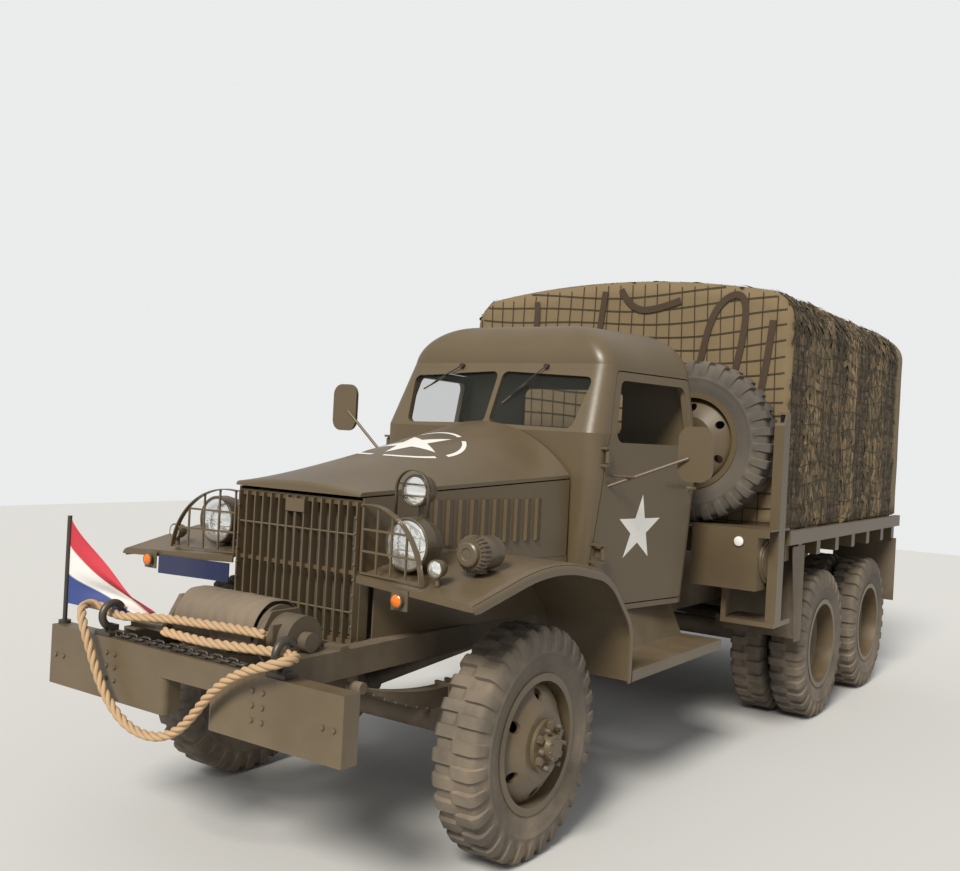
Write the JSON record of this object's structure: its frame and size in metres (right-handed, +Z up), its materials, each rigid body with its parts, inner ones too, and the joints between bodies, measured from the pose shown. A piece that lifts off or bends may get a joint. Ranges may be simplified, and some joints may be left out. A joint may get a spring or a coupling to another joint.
{
  "type": "military cargo truck",
  "caption": "Short-wheelbase six-wheel-drive army cargo truck with closed cab, canvas-covered bed, front winch and tow rope.",
  "frame": {"origin": "on the floor under the middle of the truck's box, cords left out", "axes": "+X to the vehicle's left, +Y to the rear, +Z up; the truck faces -Y"},
  "size_m": [2.234, 6.0864, 2.669],
  "materials": {
    "body_paint": "matt brownish olive drab paint, dusty, worn at the edges",
    "chassis_paint": "matt olive paint with road dust",
    "lamp_paint": "matt dark olive paint",
    "cab_fittings_paint": "matt dark olive and black enamel",
    "tyre_rubber": "worn black rubber with dust",
    "tarp_canvas": "faded olive canvas",
    "net_cloth": "green and brown garnished net",
    "cover_canvas": "brown olive waxed canvas",
    "seat_canvas": "olive canvas",
    "rope_fibre": "natural tan laid fibre",
    "dark_steel": "dark bare and oiled steel",
    "engine_iron": "dull painted iron",
    "exhaust_iron": "rusty iron",
    "flag_cloth": "thin cloth in three plain bands",
    "window_glass": "clear flat glass",
    "plate_enamel": "dark blue enamel, blank",
    "bed_wood": "painted boards"
  },
  "bodies": {
    "truck": {"aprons": "body_paint", "bed_floor": "body_paint", "bed_sides": "bed_wood", "bows": "bed_wood", "cab_back": "body_paint", "cab_cowl": "body_paint", "cab_fittings": "cab_fittings_paint", "cab_floor": "body_paint", "cab_roof": "body_paint", "camouflage_net": "net_cloth", "cross_members": "chassis_paint", "driveline": "chassis_paint", "engine": "engine_iron", "exhaust": "exhaust_iron", "flag": "flag_cloth", "flag_staff": "dark_steel", "frame_rails": "chassis_paint", "front_axle": "chassis_paint", "front_bumper": "body_paint", "front_fenders": "body_paint", "fuel_tank": "body_paint", "grille": "body_paint", "hood_sides": "body_paint", "lamp_guards": "body_paint", "lamps": "lamp_paint", "number_plate": "plate_enamel", "radiator": "engine_iron", "rear_axles": "chassis_paint", "running_boards": "body_paint", "seats": "seat_canvas", "spare_carrier": "body_paint", "spare_tyre": "tyre_rubber", "spare_wheel": "body_paint", "splash_guards": "chassis_paint", "springs": "chassis_paint", "tarp": "tarp_canvas", "tow_chain": "dark_steel", "tow_rope": "rope_fibre", "towing_fittings": "dark_steel", "winch": "chassis_paint", "winch_cover": "cover_canvas", "windscreen_glass": "window_glass"},
    "hood": {"hood": "body_paint"},
    "door_left": {"door_left": "body_paint"},
    "door_right": {"door_right": "body_paint"},
    "tailgate": {"tailgate": "body_paint"},
    "knuckle_left": {"knuckle_left": "chassis_paint"},
    "knuckle_right": {"knuckle_right": "chassis_paint"},
    "wheel_front_left": {"tyre_front_left": "tyre_rubber", "wheel_front_left": "body_paint"},
    "wheel_front_right": {"tyre_front_right": "tyre_rubber", "wheel_front_right": "body_paint"},
    "wheels_rear_left_1": {"tyres_rear_left_1": "tyre_rubber", "wheels_rear_left_1": "body_paint"},
    "wheels_rear_left_2": {"tyres_rear_left_2": "tyre_rubber", "wheels_rear_left_2": "body_paint"},
    "wheels_rear_right_1": {"tyres_rear_right_1": "tyre_rubber", "wheels_rear_right_1": "body_paint"},
    "wheels_rear_right_2": {"tyres_rear_right_2": "tyre_rubber", "wheels_rear_right_2": "body_paint"}
  },
  "joints": [
    {"name": "hood_hinge", "type": "hinge", "parent": "truck", "child": "hood", "pos_m": [0, -1.172, 1.735], "axis": [-1, 0, 0], "range_deg": [0, 50]},
    {"name": "door_left_hinge", "type": "hinge", "parent": "truck", "child": "door_left", "pos_m": [0.674, -1.089, 1.36], "axis": [0, 0, -1], "range_deg": [0, 70]},
    {"name": "door_right_hinge", "type": "hinge", "parent": "truck", "child": "door_right", "pos_m": [-0.674, -1.089, 1.36], "axis": [0, 0, 1], "range_deg": [0, 70]},
    {"name": "tailgate_hinge", "type": "hinge", "parent": "truck", "child": "tailgate", "pos_m": [0, 2.948, 1.2], "axis": [-1, 0, 0], "range_deg": [0, 90]},
    {"name": "steer_left", "type": "hinge", "parent": "truck", "child": "knuckle_left", "pos_m": [0.64, -1.951, 0.46], "axis": [0, 0, 1], "range_deg": [-26, 26]},
    {"name": "steer_right", "type": "hinge", "parent": "truck", "child": "knuckle_right", "pos_m": [-0.64, -1.951, 0.46], "axis": [0, 0, 1], "range_deg": [-26, 26]},
    {"name": "spin_front_left", "type": "hinge", "parent": "knuckle_left", "child": "wheel_front_left", "pos_m": [0.79, -1.951, 0.46], "axis": [1, 0, 0], "continuous": true},
    {"name": "spin_front_right", "type": "hinge", "parent": "knuckle_right", "child": "wheel_front_right", "pos_m": [-0.79, -1.951, 0.46], "axis": [1, 0, 0], "continuous": true},
    {"name": "spin_rear_left_1", "type": "hinge", "parent": "truck", "child": "wheels_rear_left_1", "pos_m": [0.8575, 1.173, 0.46], "axis": [1, 0, 0], "continuous": true},
    {"name": "spin_rear_right_1", "type": "hinge", "parent": "truck", "child": "wheels_rear_right_1", "pos_m": [-0.8575, 1.173, 0.46], "axis": [1, 0, 0], "continuous": true},
    {"name": "spin_rear_left_2", "type": "hinge", "parent": "truck", "child": "wheels_rear_left_2", "pos_m": [0.8575, 2.291, 0.46], "axis": [1, 0, 0], "continuous": true},
    {"name": "spin_rear_right_2", "type": "hinge", "parent": "truck", "child": "wheels_rear_right_2", "pos_m": [-0.8575, 2.291, 0.46], "axis": [1, 0, 0], "continuous": true}
  ],
  "couplings": [
    {"joint": "steer_right", "follows": "steer_left", "ratio": 1}
  ]
}
